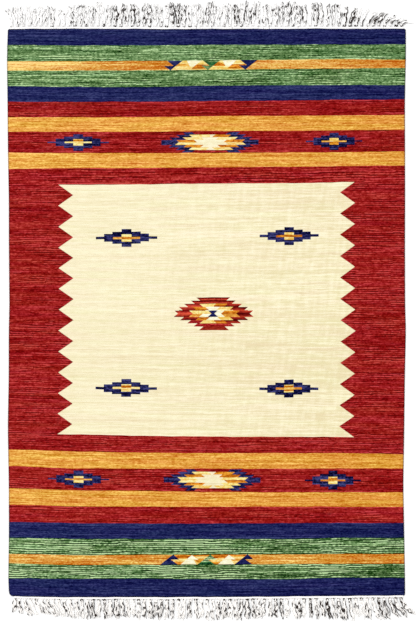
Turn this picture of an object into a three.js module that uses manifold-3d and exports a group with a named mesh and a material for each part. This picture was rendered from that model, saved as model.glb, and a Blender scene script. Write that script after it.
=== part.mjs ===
// A flat-woven kilim rug, laid out flat, with a knotted fringe along each end.
//
// Millimetres, +Z up. X runs across the rug along the weft, from selvage to selvage.
// Y runs along the warp, from the near end to the far end. The rug rests on Z = 0.
//
// The cloth is woven in one piece with its two selvages, so it is one solid.
// Each fringe is the cloth's own warp ends, knotted in bundles, and is one comb.

import * as THREE from 'three';
import { mergeVertices } from 'three/addons/utils/BufferGeometryUtils.js';
import Module from 'manifold-3d';

const wasm = await Module();
wasm.setup();

// ---------------------------------------------------------------- driving dimensions

const CLOTH_WIDTH = 1200; // selvage to selvage, nominal
const CLOTH_LENGTH = 1716; // first pick to last pick, nominal
const CLOTH_THICK = 3;
const EDGE_ROUNDING = 0.6; // chamfer that stands for the soft turn of the yarn
const CORNER_STEPS = 3;

const SELVAGE_WIDTH = 8; // the doubled outer warps
const SELVAGE_THICK = 3.6;
const SELVAGE_SETBACK = 14; // the selvage bead fades out before the end

const NODE_GAP = 0.3; // clearance between the cloth and each fringe

const TASSEL_COUNT = 69;
const FRINGE_INSET = 3; // from the selvage to the first warp bundle
const WARP_STRIP_LENGTH = 9; // bare warps between the last pick and the knots
const WARP_STRIP_THICK = 2.2;

// How far each selvage stands out (+) or in (-) from the nominal width.
const SELVAGE_WANDER = [
  { at: 854, left: 0.6, right: 2.1 },
  { at: 782, left: 3.6, right: 2.4 },
  { at: 637, left: 1.8, right: -0.9 },
  { at: 492, left: 0.6, right: -0.3 },
  { at: 347, left: -2.1, right: 0.0 },
  { at: 201, left: -2.4, right: -0.6 },
  { at: 20, left: -3.9, right: 0.0 },
  { at: -52, left: -2.1, right: 2.4 },
  { at: -198, left: -1.8, right: -0.9 },
  { at: -343, left: 0.9, right: -2.7 },
  { at: -524, left: -2.1, right: -5.7 },
  { at: -669, left: -2.4, right: -2.7 },
  { at: -814, left: -0.6, right: -0.3 },
  { at: -853, left: -3.0, right: -0.3 },
];

// How far each end stands out (+) or in (-) from the nominal length.
const END_WANDER = [
  { at: -588, far: -1.3, near: -0.9 },
  { at: -534, far: -0.3, near: 0.8 },
  { at: -473, far: -0.7, near: 2.2 },
  { at: -322, far: 1.5, near: 1.2 },
  { at: -171, far: -0.7, near: 1.3 },
  { at: -2, far: -0.7, near: 1.3 },
  { at: 167, far: -0.9, near: 1.1 },
  { at: 319, far: 0.4, near: -1.3 },
  { at: 470, far: 0.8, near: -3.0 },
  { at: 585, far: 0.5, near: -3.6 },
];

// The near left corner is the most worn, so it is the roundest.
const CORNER_RADIUS = { farLeft: 4, farRight: 5, nearLeft: 12, nearRight: 4 };

// How far the tassels reach from the cloth, and how far their tips lean to +X.
const FAR_LIE = [
  { at: -600, reach: 56, lean: -7 },
  { at: -560, reach: 61, lean: -2 },
  { at: -400, reach: 66, lean: 0 },
  { at: -340, reach: 74, lean: 1 },
  { at: 370, reach: 74, lean: 1 },
  { at: 430, reach: 67, lean: 6 },
  { at: 480, reach: 59, lean: 15 },
  { at: 540, reach: 50, lean: 22 },
  { at: 572, reach: 38, lean: 28 },
  { at: 597, reach: 26, lean: 24 },
];
const NEAR_LIE = [
  { at: -600, reach: 51, lean: 8 },
  { at: -440, reach: 55, lean: 11 },
  { at: -390, reach: 63, lean: 2 },
  { at: -200, reach: 64, lean: 0 },
  { at: 0, reach: 68, lean: 0 },
  { at: 300, reach: 71, lean: 2 },
  { at: 500, reach: 73, lean: 8 },
  { at: 560, reach: 67, lean: 20 },
  { at: 597, reach: 58, lean: 30 },
];

// One tassel, from the warp strip to its tip. "along" is a share of its free length.
const TASSEL_SECTIONS = [
  { part: 'knot', along: 0.11, width: 10.0, thick: 6.2 },
  { part: 'neck', along: 0.2, width: 7.5, thick: 4.2 },
  { part: 'belly', along: 0.62, width: 12.5, thick: 4.4 },
  { part: 'tip', along: 1.0, width: 8.0, thick: 1.8 },
];
const BUNDLE_WIDTH = 12; // a bundle of warps where it leaves the strip
const FOOT_SHARE = 0.75; // how much of its width a tassel rests on
const SHOULDER_SHARE = 0.45; // height of its widest line, as a share of its thickness
const LEAN_CURVE = 1.4; // above 1, a tassel bends over rather than slants
const REACH_SCATTER = 3; // tassels differ from their neighbours by up to this much
const LEAN_SCATTER = 3;

const CLOTH_COLOUR = 0xa51a24;
const FRINGE_COLOUR = 0xf1ede4;

// ---------------------------------------------------------------- helpers

// Reads a column of a table at any place between its rows.
function valueAt(table, column, at) {
  const rows = [...table].sort((a, b) => a.at - b.at);
  if (at <= rows[0].at) return rows[0][column];
  const next = rows.findIndex((row) => row.at >= at);
  if (next < 0) return rows[rows.length - 1][column];
  const low = rows[next - 1];
  const high = rows[next];
  const share = (at - low.at) / (high.at - low.at);
  return low[column] + share * (high[column] - low[column]);
}

const leftEdge = (y) => -CLOTH_WIDTH / 2 - valueAt(SELVAGE_WANDER, 'left', y);
const rightEdge = (y) => CLOTH_WIDTH / 2 + valueAt(SELVAGE_WANDER, 'right', y);
const farEdge = (x) => CLOTH_LENGTH / 2 + valueAt(END_WANDER, 'far', x);
const nearEdge = (x) => -CLOTH_LENGTH / 2 - valueAt(END_WANDER, 'near', x);

// A repeatable number from -1 to 1 that differs from tassel to tassel.
function scatter(index, salt) {
  const wave = Math.sin(index * 12.9898 + salt * 78.233) * 43758.5453;
  return 2 * (wave - Math.floor(wave)) - 1;
}

// The points of a rounded corner, counter-clockwise from startAngle over a quarter turn.
function cornerPoints(x, y, radius, startAngle) {
  const insideX = x - Math.sign(x) * radius;
  const insideY = y - Math.sign(y) * radius;
  const points = [];
  for (let step = 0; step <= CORNER_STEPS; step += 1) {
    const angle = startAngle + (step / CORNER_STEPS) * (Math.PI / 2);
    const px = insideX + radius * Math.cos(angle);
    const py = insideY + radius * Math.sin(angle);
    points.push(new THREE.Vector2(px, py));
  }
  return points;
}

// A flat slab with chamfered rims, standing on Z = 0.
function slab(points, thick) {
  const shape = new THREE.Shape(points);
  const geometry = new THREE.ExtrudeGeometry(shape, {
    depth: thick - 2 * EDGE_ROUNDING,
    bevelEnabled: true,
    bevelThickness: EDGE_ROUNDING,
    bevelSize: EDGE_ROUNDING,
    bevelOffset: -EDGE_ROUNDING,
    bevelSegments: 1,
  });
  geometry.translate(0, 0, EDGE_ROUNDING);
  return geometry;
}

function toSolid(geometry) {
  geometry.deleteAttribute('normal');
  geometry.deleteAttribute('uv');
  const merged = mergeVertices(geometry, 1e-4);
  const vertProperties = new Float32Array(merged.attributes.position.array);
  const triVerts = new Uint32Array(merged.index.array);
  return new wasm.Manifold(new wasm.Mesh({ numProp: 3, vertProperties, triVerts }));
}

function toGeometry(solid) {
  const mesh = solid.getMesh();
  const geometry = new THREE.BufferGeometry();
  geometry.setAttribute('position', new THREE.BufferAttribute(mesh.vertProperties, 3));
  geometry.setIndex(new THREE.BufferAttribute(mesh.triVerts, 1));
  geometry.computeVertexNormals();
  return geometry;
}

// ---------------------------------------------------------------- cloth

function clothOutline() {
  const alongX = END_WANDER.map((row) => row.at);
  const sideRows = SELVAGE_WANDER.map((row) => row.at).filter((y) => Math.abs(y) < 840);
  const upward = [...sideRows].sort((a, b) => a - b);
  const downward = [...upward].reverse();
  const innerX = alongX.filter((x) => Math.abs(x) < CLOTH_WIDTH / 2 - 20);
  const endY = CLOTH_LENGTH / 2;
  const endX = CLOTH_WIDTH / 2;
  return [
    ...cornerPoints(leftEdge(-endY), nearEdge(-endX), CORNER_RADIUS.nearLeft, Math.PI),
    ...innerX.map((x) => new THREE.Vector2(x, nearEdge(x))),
    ...cornerPoints(rightEdge(-endY), nearEdge(endX), CORNER_RADIUS.nearRight, -Math.PI / 2),
    ...upward.map((y) => new THREE.Vector2(rightEdge(y), y)),
    ...cornerPoints(rightEdge(endY), farEdge(endX), CORNER_RADIUS.farRight, 0),
    ...[...innerX].reverse().map((x) => new THREE.Vector2(x, farEdge(x))),
    ...cornerPoints(leftEdge(endY), farEdge(-endX), CORNER_RADIUS.farLeft, Math.PI / 2),
    ...downward.map((y) => new THREE.Vector2(leftEdge(y), y)),
  ];
}

// The thicker bead that the doubled outer warps make along one side.
function selvageBead(edge, inward) {
  const limit = CLOTH_LENGTH / 2 - SELVAGE_SETBACK;
  const rows = SELVAGE_WANDER.map((row) => row.at).filter((y) => Math.abs(y) < limit);
  const stations = [-limit, ...rows.sort((a, b) => a - b), limit];
  const outer = stations.map((y) => new THREE.Vector2(edge(y), y));
  const inner = stations.map((y) => new THREE.Vector2(edge(y) + inward * SELVAGE_WIDTH, y));
  const points = [...outer, ...inner.reverse()];
  return slab(inward > 0 ? points.reverse() : points, SELVAGE_THICK);
}

function clothGeometry() {
  const sheet = toSolid(slab(clothOutline(), CLOTH_THICK));
  const leftBead = toSolid(selvageBead(leftEdge, 1));
  const rightBead = toSolid(selvageBead(rightEdge, -1));
  return toGeometry(sheet.add(leftBead).add(rightBead));
}

// ---------------------------------------------------------------- fringe

// Five-sided section: two points on the floor, then right shoulder, ridge, left shoulder.
function tasselSection(x, y, width, thick, shoulderHeight) {
  const half = width / 2;
  return [
    [x - FOOT_SHARE * half, y, 0],
    [x + FOOT_SHARE * half, y, 0],
    [x + half, y, shoulderHeight],
    [x, y, thick],
    [x - half, y, shoulderHeight],
  ];
}

// The comb of one end: a strip of bare warps with a knotted tassel growing out of it at
// every bundle. "outward" is +1 at the far end and -1 at the near end.
function fringeComb(endEdge, outward, lie) {
  const points = [];
  const faces = [];
  const addPoints = (list) => {
    const first = points.length;
    points.push(...list);
    return list.map((_, index) => first + index);
  };
  const addFace = (...corners) => {
    for (let index = 1; index < corners.length - 1; index += 1) {
      faces.push(corners[0], corners[index], corners[index + 1]);
    }
  };

  const pitch = (CLOTH_WIDTH - 2 * FRINGE_INSET) / TASSEL_COUNT;
  const bundles = [];
  for (let index = 0; index < TASSEL_COUNT; index += 1) {
    const rootX = (index + 0.5 - TASSEL_COUNT / 2) * pitch;
    const stripEnd = endEdge(rootX) + outward * WARP_STRIP_LENGTH;
    const half = BUNDLE_WIDTH / 2;
    const innerY = (x) => endEdge(x) + outward * NODE_GAP;
    const strip = addPoints([
      [rootX - half, innerY(rootX - half), 0],
      [rootX + half, innerY(rootX + half), 0],
      [rootX + half, innerY(rootX + half), WARP_STRIP_THICK],
      [rootX - half, innerY(rootX - half), WARP_STRIP_THICK],
    ]);
    const thick = WARP_STRIP_THICK;
    const root = addPoints([
      [rootX - half, stripEnd, 0],
      [rootX + half, stripEnd, 0],
      [rootX + half, stripEnd, thick],
      [rootX, stripEnd, thick],
      [rootX - half, stripEnd, thick],
    ]);
    const reach = valueAt(lie, 'reach', rootX) + REACH_SCATTER * scatter(index, 1 + outward);
    const lean = valueAt(lie, 'lean', rootX) + LEAN_SCATTER * scatter(index, 4 + outward);
    const free = reach - WARP_STRIP_LENGTH;
    const rings = TASSEL_SECTIONS.map((section) => {
      const x = rootX + lean * section.along ** LEAN_CURVE;
      const y = stripEnd + outward * free * section.along;
      const shoulder = SHOULDER_SHARE * section.thick;
      return addPoints(tasselSection(x, y, section.width, section.thick, shoulder));
    });
    bundles.push({ strip, root, rings: [root, ...rings] });
  }

  for (const { strip, root, rings } of bundles) {
    const [innerLeft, innerRight, innerRightTop, innerLeftTop] = strip;
    addFace(innerLeft, root[0], root[1], innerRight);
    addFace(innerLeftTop, innerRightTop, root[2], root[3], root[4]);
    addFace(innerLeft, innerRight, innerRightTop, innerLeftTop);
    for (let ring = 0; ring < rings.length - 1; ring += 1) {
      for (let side = 0; side < 5; side += 1) {
        const next = (side + 1) % 5;
        addFace(rings[ring][side], rings[ring + 1][side], rings[ring + 1][next], rings[ring][next]);
      }
    }
    addFace(...[...rings[rings.length - 1]].reverse());
  }
  for (let index = 0; index < bundles.length - 1; index += 1) {
    const left = bundles[index];
    const right = bundles[index + 1];
    addFace(left.strip[1], left.root[1], right.root[0], right.strip[0]);
    addFace(left.strip[2], right.strip[3], right.root[4], left.root[2]);
    addFace(left.strip[1], right.strip[0], right.strip[3], left.strip[2]);
    addFace(left.root[1], left.root[2], right.root[4], right.root[0]);
  }
  const first = bundles[0];
  const last = bundles[bundles.length - 1];
  addFace(first.strip[0], first.strip[3], first.root[4], first.root[0]);
  addFace(last.strip[1], last.root[1], last.root[2], last.strip[2]);

  // The far comb is the near one turned over in plan, which flips every face.
  if (outward < 0) faces.reverse();
  const geometry = new THREE.BufferGeometry();
  geometry.setAttribute('position', new THREE.Float32BufferAttribute(points.flat(), 3));
  geometry.setIndex(faces);
  geometry.computeVertexNormals();
  return geometry;
}

// ---------------------------------------------------------------- the rug

function piece(name, geometry, colour) {
  const material = new THREE.MeshStandardMaterial({ color: colour, roughness: 0.95 });
  const mesh = new THREE.Mesh(geometry, material);
  mesh.name = name;
  return mesh;
}

const group = new THREE.Group();
group.add(piece('kilim_cloth', clothGeometry(), CLOTH_COLOUR));
group.add(piece('fringe_far', fringeComb(farEdge, 1, FAR_LIE), FRINGE_COLOUR));
group.add(piece('fringe_near', fringeComb(nearEdge, -1, NEAR_LIE), FRINGE_COLOUR));

// The origin is the middle of the underside of the whole rug, fringe included.
const middle = new THREE.Box3().setFromObject(group).getCenter(new THREE.Vector3());
group.position.set(-middle.x, -middle.y, 0);

export default group;
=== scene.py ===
# %% [markdown]
# # A kilim rug, woven with nodes and numpy
# The object is a flat-woven cotton rug, 120 cm wide and 172 cm long, with a knotted
# fringe at each end. It lies on a pale studio floor.
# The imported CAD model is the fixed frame: its boxes say where the cloth and the two
# fringes are. Everything below is built around those boxes, in metres, with +Z up.

# %% Load the fixed frame
import math

import bpy
import numpy as np
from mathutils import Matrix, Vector


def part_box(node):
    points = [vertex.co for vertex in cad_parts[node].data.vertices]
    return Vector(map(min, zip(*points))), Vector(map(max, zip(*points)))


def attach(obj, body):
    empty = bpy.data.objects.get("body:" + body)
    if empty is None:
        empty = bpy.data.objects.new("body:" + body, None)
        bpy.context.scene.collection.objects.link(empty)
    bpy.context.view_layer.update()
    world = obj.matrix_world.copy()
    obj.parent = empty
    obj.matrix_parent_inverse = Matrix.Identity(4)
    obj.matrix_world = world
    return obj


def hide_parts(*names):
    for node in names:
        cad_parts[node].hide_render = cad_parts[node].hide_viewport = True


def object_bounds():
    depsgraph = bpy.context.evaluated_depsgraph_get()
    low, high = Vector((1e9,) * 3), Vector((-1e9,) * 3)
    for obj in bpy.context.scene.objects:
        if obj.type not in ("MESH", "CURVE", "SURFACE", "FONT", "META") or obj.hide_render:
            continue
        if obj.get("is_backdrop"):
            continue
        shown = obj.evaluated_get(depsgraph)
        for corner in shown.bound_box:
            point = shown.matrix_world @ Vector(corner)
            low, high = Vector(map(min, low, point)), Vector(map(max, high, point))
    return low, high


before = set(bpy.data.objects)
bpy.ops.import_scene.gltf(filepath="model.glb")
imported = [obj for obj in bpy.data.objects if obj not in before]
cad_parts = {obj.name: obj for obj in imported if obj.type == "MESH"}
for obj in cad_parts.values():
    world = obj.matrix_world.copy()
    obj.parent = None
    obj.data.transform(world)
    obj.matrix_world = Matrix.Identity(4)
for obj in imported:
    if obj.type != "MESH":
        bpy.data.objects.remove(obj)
CAD_LOW, CAD_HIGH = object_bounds()
CLOTH_LOW, CLOTH_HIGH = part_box("kilim_cloth")
CLOTH_THICK = CLOTH_HIGH.z - CLOTH_LOW.z
MM = 0.001
# The selvages wander, so the loom's own middle is not quite the middle of the box.
LOOM_MIDDLE = (CLOTH_LOW + CLOTH_HIGH) / 2 + Vector((0.6, 0.35, 0)) * MM
print(f"cloth box {CLOTH_HIGH.x - CLOTH_LOW.x:.4f} x {CLOTH_HIGH.y - CLOTH_LOW.y:.4f} m")

# %% [markdown]
# ## The camera
# A rug is shown best from straight above, as if from a ladder. A perspective camera
# with a long lens keeps the edges straight, and it can also walk round the rug for
# other views, which a flat orthographic camera does less well.

# %% Place the camera straight above
PICTURE_LENGTH = 1.8861
AIM = Vector((4.2, 2.0, 0)) * MM
LENS = 100.0
SENSOR = 36.0
FAR_AWAY = 100.0

scene = bpy.context.scene


def add_object(name, data):
    """A new object in the scene."""
    thing = bpy.data.objects.new(name, data)
    scene.collection.objects.link(thing)
    return thing


camera_data = bpy.data.cameras.new("camera_above")
camera_data.lens = LENS
camera_data.sensor_width = SENSOR
camera_data.clip_end = FAR_AWAY
camera = add_object("camera_above", camera_data)
camera.location = LOOM_MIDDLE + AIM
camera.location.z = CLOTH_HIGH.z + PICTURE_LENGTH * LENS / SENSOR
bpy.context.scene.camera = camera
print(f"camera {camera.location.z:.3f} m above the floor")

# %% [markdown]
# ## The studio
# The floor is a plain pale sheet, far larger than the rug. The light is soft: a bright
# even sky, which fills every hollow, and one broad sun from the far left, which draws
# the ribs and the curls of the fringe. The Standard view transform keeps dyed
# yarns as strong as they are; the filmic ones would wash them out.

# %% Build the floor and the light
SKY_STRENGTH = 0.95
SUN_STRENGTH = 1.7
SUN_SOFTNESS = math.radians(25)
SUN_TILT = math.radians(42)
SUN_TURN = math.radians(35)
FLOOR_HALF = 12.0
FLOOR_GAP = 0.2 * MM
FLOOR_COLOUR = (0.84, 0.84, 0.835, 1)

scene.view_settings.view_transform = "Standard"
# The denoiser would take the single picks of weft for grain and smooth them away.
scene.cycles.use_denoising = False

world = bpy.data.worlds.new("soft_sky")
world.use_nodes = True
sky = world.node_tree.nodes["Background"].inputs
sky["Color"].default_value = (1, 1, 1, 1)
sky["Strength"].default_value = SKY_STRENGTH
scene.world = world

sun_data = bpy.data.lights.new("broad_sun", "SUN")
sun_data.energy = SUN_STRENGTH
sun_data.angle = SUN_SOFTNESS
add_object("broad_sun", sun_data).rotation_euler = (-SUN_TILT, 0, SUN_TURN)

# Light that falls on a level surface, as a share of what a plain white sky would give.
LIGHT_ON_FLOOR = SKY_STRENGTH + SUN_STRENGTH * math.cos(SUN_TILT) / math.pi

floor_mesh = bpy.data.meshes.new("pale_floor")
floor_corners = [
    (x * FLOOR_HALF, y * FLOOR_HALF, 0) for x, y in ((-1, -1), (1, -1), (1, 1), (-1, 1))
]
floor_mesh.from_pydata(floor_corners, [], [(0, 1, 2, 3)])
floor = add_object("pale_floor", floor_mesh)
floor.location.z = CLOTH_LOW.z - FLOOR_GAP
floor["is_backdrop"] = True


def new_material(name):
    """A material and its node tree."""
    material = bpy.data.materials.new(name)
    material.use_nodes = True
    return material, material.node_tree


floor_paint, floor_tree = new_material("pale_floor_paint")
paint = floor_tree.nodes["Principled BSDF"].inputs
paint["Base Color"].default_value = FLOOR_COLOUR
paint["Roughness"].default_value = 0.9
paint["Specular IOR Level"].default_value = 0.1
floor_mesh.materials.append(floor_paint)
print(f"light on the floor {LIGHT_ON_FLOOR:.2f}")

# %% [markdown]
# ## How the cloth lies
# A hand-woven rug is never a true rectangle. Each side pulls in where the weaver drew
# the weft tight, and each line of weft climbs or sinks a little across the width.
# One way is to model the rug square and bend it afterwards with a lattice. Here the
# plan stays square, and two short tables say where the plan really lies. Every vertex
# keeps its place in the plan as a UV, so the pattern follows the cloth exactly.

# %% Tables of how the cloth lies, in millimetres
PLAN_HALF_WIDTH = 600
PLAN_HALF_LENGTH = 858

# at: along the rug. left, right: how far that side stands out from the plan.
SIDE_WANDER = [
    # at, left, right
    (854, 0.6, 2.1),
    (782, 3.6, 2.4),
    (637, 1.8, -0.9),
    (492, 0.6, -0.3),
    (347, -2.1, 0.0),
    (201, -2.4, -0.6),
    (20, -3.9, 0.0),
    (-52, -2.1, 2.4),
    (-198, -1.8, -0.9),
    (-343, 0.9, -2.7),
    (-524, -2.1, -5.7),
    (-669, -2.4, -2.7),
    (-814, -0.6, -0.3),
    (-853, -3.0, -0.3),
]

# plan: a line of weft in the plan. middle: where it lies. The rest: how much further
# along it lies at that distance from the middle (-590 is the left side).
WEFT_COLUMNS = (-590, -400, -170, 0, 280, 400, 590)
WEFT_LINES = [
    # plan, middle, -590, -400, -170, 0, 280, 400, 590
    (858.0, 857.7, -0.6, 1.1, 0.0, 0, 0.8, 1.3, 1.2),
    (808.0, 809.0, 0.0, -1.5, -1.0, 0, 1.5, 2.0, 2.0),
    (761.0, 762.0, -3.0, -3.0, -1.5, 0, 2.5, 4.0, 2.5),
    (732.0, 733.4, -2.5, -2.5, -1.5, 0, 3.0, 3.5, 5.5),
    (685.0, 686.3, -1.5, -4.0, -4.0, 0, 1.5, 2.0, 1.0),
    (638.5, 639.8, -2.5, -2.5, -2.0, 0, 2.0, 4.0, 5.0),
    (591.0, 594.7, -3.5, -3.5, -3.0, 0, 1.5, 1.5, 3.5),
    (545.0, 548.8, -2.0, -2.5, -2.5, 0, 0.5, 2.0, 3.5),
    (477.0, 482.6, 1.0, 0.0, 0.0, 0, 2.0, 2.5, 5.0),
    (431.5, 439.0, -4.5, -2.5, -2.0, 0, 2.0, 3.5, 5.5),
    (391.0, 390.9, -4.5, -4.0, -2.5, 0, 1.0, 4.0, 5.0),
    (229.0, 229.0, -3.2, -3.9, -3.0, 0, 3.6, 4.6, 5.0),
    (90.0, 89.9, 1.2, 0.1, -0.7, 0, 0.2, 2.0, 2.0),
    (-229.0, -229.4, 4.5, 2.5, 0.8, 0, 0.0, -1.2, -3.0),
    (-374.0, -374.0, 10.0, 6.5, 2.0, 0, -1.0, -1.0, -2.5),
    (-431.5, -424.1, 11.5, 5.0, 1.0, 0, 0.0, 0.0, -3.0),
    (-477.0, -471.6, 8.0, 0.5, 0.0, 0, 0.0, 1.0, 0.0),
    (-545.0, -541.4, 11.0, 5.0, 3.0, 0, -1.0, -1.5, -1.0),
    (-591.0, -587.0, 6.0, 1.0, 0.0, 0, 0.5, 0.0, -0.5),
    (-638.5, -637.4, 5.0, 1.5, 0.0, 0, 1.5, 2.0, 1.5),
    (-685.0, -683.6, 4.0, 0.5, 0.0, 0, 1.0, 3.5, 4.0),
    (-732.0, -731.0, 3.0, -1.5, 0.0, 0, 1.5, 2.5, 2.5),
    (-761.0, -760.4, 3.0, -1.5, 0.0, 0, 1.5, 2.5, 2.5),
    (-808.0, -806.6, 3.0, 1.5, 2.0, 0, 1.0, 5.5, 5.0),
    (-858.0, -860.0, 2.2, -0.4, 0.0, 0, 2.0, 3.4, 4.9),
]

# side: -1 left, 1 right. end: -1 near, 1 far.
CORNERS = [
    # side, end, radius
    (-1, 1, 4),
    (1, 1, 5),
    (-1, -1, 12),
    (1, -1, 4),
]
print(f"{len(WEFT_LINES)} lines of weft and {len(SIDE_WANDER)} places along the sides")

# %% [markdown]
# ### From plan to cloth
# `lay_down` takes places in the plan and gives places on the floor. Between the rows of
# the tables it blends, and it adds a slight unsteadiness to each line of weft, drawn
# from a fixed seed so that the rug is the same every time.

# %% Turn plan places into cloth places
WOBBLE_WAVES = (61, 107, 173, 290)
WOBBLE_HEIGHT = 0.9


def wobble(u, seed_rng):
    """A sum of soft waves along a line of weft, in mm."""
    total = np.zeros_like(u, dtype=float)
    for length in WOBBLE_WAVES:
        total += np.sin(u * 2 * math.pi / length + seed_rng.uniform(0, 2 * math.pi))
    return total * WOBBLE_HEIGHT / len(WOBBLE_WAVES)


def weft_heights(plan_rows, u):
    """For each plan row (mm) and each u (mm), how far along the rug the weft lies."""
    table = np.array(sorted(WEFT_LINES), float)
    seed_rng = np.random.default_rng(5)
    lines = np.array(
        [row[1] + np.interp(u, WEFT_COLUMNS, row[2:]) + wobble(u, seed_rng) for row in table]
    )
    plan = table[:, 0]
    slot = np.clip(np.searchsorted(plan, plan_rows, side="right") - 1, 0, len(plan) - 2)
    share = ((plan_rows - plan[slot]) / (plan[slot + 1] - plan[slot]))[:, None]
    return lines[slot] * (1 - share) + lines[slot + 1] * share


def side_shift(u, along):
    """How far sideways (mm) a place is pulled by the wandering selvages."""
    at, left, right = np.array(sorted(SIDE_WANDER), float).T
    to_right = (u + PLAN_HALF_WIDTH) / (2 * PLAN_HALF_WIDTH)
    return np.interp(along, at, right) * to_right - np.interp(along, at, left) * (1 - to_right)


def corner_cut(u, plan_rows):
    """How far (mm) the rounded corners pull the last rows in at each side."""
    pull = np.zeros((len(plan_rows), len(u)))
    for side, end, radius in CORNERS:
        depth = np.clip(radius - (PLAN_HALF_LENGTH - end * plan_rows), 0, radius)
        arc = radius - np.sqrt(radius**2 - depth**2)
        nearness = np.clip(1 - (PLAN_HALF_WIDTH - side * u) / (3 * radius), 0, 1) ** 2
        pull -= side * arc[:, None] * nearness[None, :]
    return pull


def lay_down(u, plan_rows):
    """Cloth places x and y in metres, as two grids, for plan columns u and rows in mm."""
    along = weft_heights(plan_rows, u)
    sideways = u[None, :] + side_shift(u[None, :], along) + corner_cut(u, plan_rows)
    return LOOM_MIDDLE.x + sideways * MM, LOOM_MIDDLE.y + along * MM


test_x, test_y = lay_down(np.array([-600.0, 600.0]), np.array([-858.0, 858.0]))
print("cloth corners", np.round(test_x, 4).tolist(), np.round(test_y, 4).tolist())

# %% [markdown]
# ## The woven cloth
# In a kilim the weft hides the warp, and each warp thread shows as a soft rib from end
# to end, on both faces. The ribs could be bump alone, but then the cloth is dead flat
# from the side. Here each of the 344 ribs is real: one line of vertices on its crest and
# one in each valley. The two outer warps on each side are thick and make the selvage.

# %% Lay out the ribs and the rows
WARP_COUNT = 344
WARP_PITCH = 2 * PLAN_HALF_WIDTH / WARP_COUNT
HALF_AT_CREST = 1.5
HALF_AT_VALLEY = 1.16
# Pairs of how far from the side, and half the thickness there, in mm.
SELVAGE_SHAPE = [(0, 0.35), (1.7, 1.5), (3.5, 1.8), (5.2, 1.65), (7.0, 1.15), (8.7, 1.5)]
ROW_PITCH = 33
END_ROWS = (0.9, 3.0, 7.0, 13.0)

columns = np.linspace(-PLAN_HALF_WIDTH, PLAN_HALF_WIDTH, 2 * WARP_COUNT + 1)
on_crest = np.arange(len(columns)) % 2 == 1
half_thick = np.where(on_crest, HALF_AT_CREST, HALF_AT_VALLEY)
from_side = PLAN_HALF_WIDTH - np.abs(columns)
in_selvage = from_side < SELVAGE_SHAPE[-1][0]
half_thick[in_selvage] = np.interp(from_side[in_selvage], *np.array(SELVAGE_SHAPE).T)


def plan_row_places():
    """Rows at every line of the weft table, with more between them and near the ends."""
    lines = sorted(line[0] for line in WEFT_LINES)
    rows = []
    for low, high in zip(lines, lines[1:]):
        steps = max(1, round((high - low) / ROW_PITCH))
        rows += list(np.linspace(low, high, steps, endpoint=False))
    rows.append(lines[-1])
    for inset in END_ROWS:
        rows += [PLAN_HALF_LENGTH - inset, inset - PLAN_HALF_LENGTH]
    return np.array(sorted(rows))


plan_rows = plan_row_places()
print(f"{len(columns)} columns and {len(plan_rows)} rows, rib pitch {WARP_PITCH:.2f} mm")

# %% [markdown]
# ### Build the sheet
# Two grids of vertices, an upper and a lower one, are joined round all four edges into
# one closed sheet with real thickness. Very low swells, under a millimetre, keep the
# sheet from looking like a board. The last row at each end is thinner, which rounds it.

# %% Make the cloth mesh
SWELL = 0.5
END_THIN = 0.45


def swell_height(x, y):
    """Low, wide swells of the lying cloth, in mm, never below zero."""
    wave = np.sin(x * 9.1 + 0.7) * np.sin(y * 6.3 + 1.9) + 0.6 * np.sin(x * 4.7 - y * 11.3)
    return SWELL * (wave / 1.6 + 1)


def quads(*corners):
    """Faces from four arrays of vertex numbers."""
    return np.stack(corners, axis=-1).reshape(-1, 4)


def closed_sheet(upper, lower, flip=False):
    """Vertices and faces of a sheet between two grids of places, rows by columns."""
    up = np.arange(upper[..., 0].size).reshape(upper.shape[:2])
    down = up + up.size
    faces = [
        quads(up[:-1, :-1], up[:-1, 1:], up[1:, 1:], up[1:, :-1]),
        quads(down[1:, :-1], down[1:, 1:], down[:-1, 1:], down[:-1, :-1]),
    ]
    for rim in (np.s_[0], np.s_[:, -1], np.s_[-1, ::-1], np.s_[::-1, 0]):
        over, under = up[rim], down[rim]
        faces.append(quads(over[:-1], under[:-1], under[1:], over[1:]))
    faces = np.vstack(faces)
    vertices = np.vstack([upper.reshape(-1, 3), lower.reshape(-1, 3)])
    return vertices, faces[:, ::-1] if flip else faces


def new_piece(name, vertices, faces):
    """A mesh object from arrays, shaded smooth. It also prints how large it is."""
    mesh = bpy.data.meshes.new(name)
    mesh.from_pydata(vertices.tolist(), [], [list(face) for face in faces])
    mesh.validate()
    mesh.shade_smooth()
    print(name, "has", sum(len(face.vertices) - 2 for face in mesh.polygons), "triangles")
    return add_object(name, mesh)


def build_cloth():
    """The cloth, with the plan kept in its UV map."""
    x, y = lay_down(columns, plan_rows)
    from_end = PLAN_HALF_LENGTH - np.abs(plan_rows)
    thin = np.where(from_end < END_ROWS[0], END_THIN, 1.0)[:, None]
    half = half_thick[None, :] * thin * MM
    middle = CLOTH_LOW.z + CLOTH_THICK / 2 + swell_height(x, y) * MM
    sheet = (np.stack([x, y, middle + side * half], axis=-1) for side in (1, -1))
    rug = new_piece("woven_rug", *closed_sheet(*sheet))
    plan = np.stack(np.meshgrid(columns, plan_rows), axis=-1).reshape(-1, 2) * MM
    plan = np.vstack([plan, plan]).astype(np.float32)
    corners = np.zeros(len(rug.data.loops), np.int32)
    rug.data.loops.foreach_get("vertex_index", corners)
    rug.data.uv_layers.new(name="weave").data.foreach_set("uv", plan[corners].ravel())
    return rug


rug = build_cloth()

# %% [markdown]
# ## The dye table
# Every yarn has a shadow tone and a light tone, because hand-dyed cotton takes the dye
# unevenly. The tones are written as screen colours, 0 to 255, and are blended as such,
# so that the middle of a blend is what the eye expects. A light tone may pass 255: that
# part of it then stays bright even in the streaks. The evenly dyed yarns stand next to
# each other in the table, so that two comparisons can tell them from the rest.

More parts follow.
